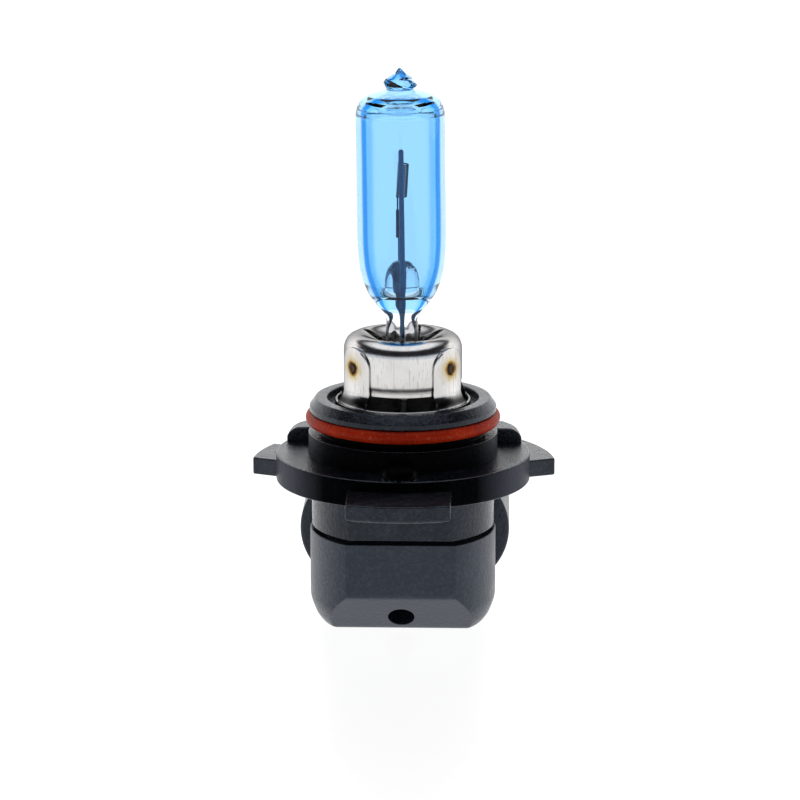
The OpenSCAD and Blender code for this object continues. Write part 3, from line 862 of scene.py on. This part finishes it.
def stadium(w, h, inset=0.0, n=40):
    """Oval outline in X and Z, anticlockwise seen from the front."""
    r = h / 2 - inset
    c = (w - h) / 2
    pts = [(c + r * cos(t), r * sin(t)) for t in [-pi / 2 + pi * k / n for k in range(n + 1)]]
    pts += [(-c + r * cos(t), r * sin(t)) for t in [pi / 2 + pi * k / n for k in range(n + 1)]]
    return pts


shell = Build()
rows = []
# distance back and inset of the oval: over the outside, round the mouth and into the socket
section = [(8.5, 0.35), (8.53, 0.15), (8.65, 0.03), (8.9, 0.0), (25.5, 0.0), (25.75, 0.06), (25.93, 0.22),
           (26.0, 0.45), (26.0, 1.15), (25.93, 1.38), (25.75, 1.55), (25.5, 1.6), (16.0, 1.6), (15.7, 1.75), (15.6, 2.1)]
for y, inset in section:
    rows.append([(x, y, SHELL_Z + z) for x, z in stadium(SHELL_W, SHELL_H, inset)])
shell.rings(rows, flip=True)
# the latch ramp underneath
ramp = [(0, 17, 2.6), (0, 17, 2.2), (0, 23, 0.5), (0, 23.6, 0.5), (0, 23.6, 2.6)]
rows = [[(x, q[1], q[2]) for q in ramp] for x in (-2.5, -2.4, 2.4, 2.5)]
shell.rings(rows)
shell.object("socket_moulding", [SHELL], ["connector_shell"], "black_plastic")

# ---------------------------------------------------------------- sealing ring
oring = Build()
rows = []
for k in range(256):
    t = 2 * pi * k / 256
    wob = 0.03 * sin(2 * t + 1) + 0.02 * sin(5 * t)
    row = []
    for j in range(32):
        q = 2 * pi * j / 32
        r = ORING_R + (ORING_WIRE + 0.012 * sin(9 * t)) * cos(q)
        row.append((r * cos(t), r * sin(t), ORING_Z + wob + 0.96 * sin(q)))
    rows.append(row)
oring.rings(rows, loop=True, flip=True)
oring.object("seal_ring", [ORING], ["o_ring"], "red_rubber", 0, False)

# ---------------------------------------------------------------- stage, light, camera
floor_mat = Mat("floor")
glow = floor_mat.node("ShaderNodeEmission")
glow.inputs["Strength"].default_value = 1.13
floor_mat.link(floor_mat.ramp(floor_mat.noise(6), [(0.0, 0.985), (1.0, 1.0)]), glow.inputs["Color"])
gloss = floor_mat.node("ShaderNodeBsdfGlossy")
gloss.inputs["Roughness"].default_value = 0.30
both = floor_mat.node("ShaderNodeMixShader")
both.inputs["Fac"].default_value = 0.30
floor_mat.link(glow.outputs[0], both.inputs[1])
floor_mat.link(gloss.outputs[0], both.inputs[2])
floor_mat.link(both.outputs[0], floor_mat.t.nodes["Material Output"].inputs["Surface"])
me = bpy.data.meshes.new("floor")
me.from_pydata([(-3, -2.5, 0), (3, -2.5, 0), (3, 6, 0), (-3, 6, 0)], [], [(0, 1, 2, 3)])
me.materials.append(floor_mat.mat)
floor = bpy.data.objects.new("floor", me)
bpy.context.scene.collection.objects.link(floor)

world = bpy.data.worlds.new("studio")
bpy.context.scene.world = world
world.use_nodes = True
wt = world.node_tree
bg = wt.nodes["Background"]
bg.inputs["Strength"].default_value = 1.0
coord = wt.nodes.new("ShaderNodeTexCoord")
split = wt.nodes.new("ShaderNodeSeparateXYZ")
wt.links.new(coord.outputs["Generated"], split.inputs[0])


def world_ramp(socket, lo, hi, stops):
    """A grey ramp over a range of one direction component."""
    m = wt.nodes.new("ShaderNodeMapRange")
    m.inputs["From Min"].default_value, m.inputs["From Max"].default_value = lo, hi
    wt.links.new(socket, m.inputs["Value"])
    r = wt.nodes.new("ShaderNodeValToRGB")
    for i, (p, c) in enumerate(stops):
        el = r.color_ramp.elements[i] if i < 2 else r.color_ramp.elements.new(p)
        el.position, el.color = p, (*c, 1.0)
    wt.links.new(m.outputs["Result"], r.inputs["Fac"])
    return r.outputs["Color"]


# in front: pale near the horizon, then dark, and white overhead; behind: white with one dark belt
front_sky = world_ramp(split.outputs["Z"], -0.3, 1.0, [
    (0.0, (0.46, 0.54, 0.70)), (0.30, (0.62, 0.66, 0.74)), (0.41, (0.02, 0.02, 0.025)),
    (0.78, (0.02, 0.02, 0.025)), (0.87, (0.90, 0.91, 0.95)), (1.0, (0.85, 0.86, 0.90))])
back_sky = world_ramp(split.outputs["Z"], -0.3, 1.0, [
    (0.0, (1.15, 1.15, 1.15)), (0.62, (1.15, 1.15, 1.15)), (0.67, (0.03, 0.03, 0.035)),
    (0.73, (0.03, 0.03, 0.035)), (0.84, (0.85, 0.86, 0.90)), (1.0, (0.85, 0.86, 0.90))])
side = world_ramp(split.outputs["Y"], -1.0, 1.0, [(0.58, (0, 0, 0)), (0.76, (1, 1, 1))])
mixer = wt.nodes.new("ShaderNodeMix")
mixer.data_type = "RGBA"
wt.links.new(side, mixer.inputs[0])
wt.links.new(front_sky, mixer.inputs[6])
wt.links.new(back_sky, mixer.inputs[7])
wt.links.new(mixer.outputs[2], bg.inputs["Color"])

AIM = Vector((-0.43, 0, 32.4)) * MM


def area(name, loc, size, power, target=(0, 0, 0.03)):
    """A square light aimed at a target and hidden from the camera."""
    d = bpy.data.lights.new(name, "AREA")
    d.energy = power
    d.size = size
    o = bpy.data.objects.new(name, d)
    o.location = loc
    o.rotation_euler = (Vector(target) - Vector(loc)).to_track_quat("-Z", "Y").to_euler()
    o.visible_camera = False
    bpy.context.scene.collection.objects.link(o)


area("left_box", (-0.50, 0.10, 0.12), 0.25, 0.12)
area("right_box", (0.50, 0.10, 0.12), 0.25, 0.12)

az, el, dist = math.radians(1.75), math.radians(13.12), 0.5
cam_data = bpy.data.cameras.new("camera")
cam_data.lens = 155.6
cam_data.sensor_width = 36
cam_data.clip_start = 0.01
cam = bpy.data.objects.new("camera", cam_data)
cam.location = AIM + Vector((sin(az) * cos(el), -cos(az) * cos(el), sin(el))) * dist
cam.rotation_euler = (AIM - cam.location).to_track_quat("-Z", "Y").to_euler()
bpy.context.scene.collection.objects.link(cam)
bpy.context.scene.camera = cam
bpy.context.scene.view_settings.view_transform = "Standard"
bpy.context.scene.view_settings.look = "Medium High Contrast"
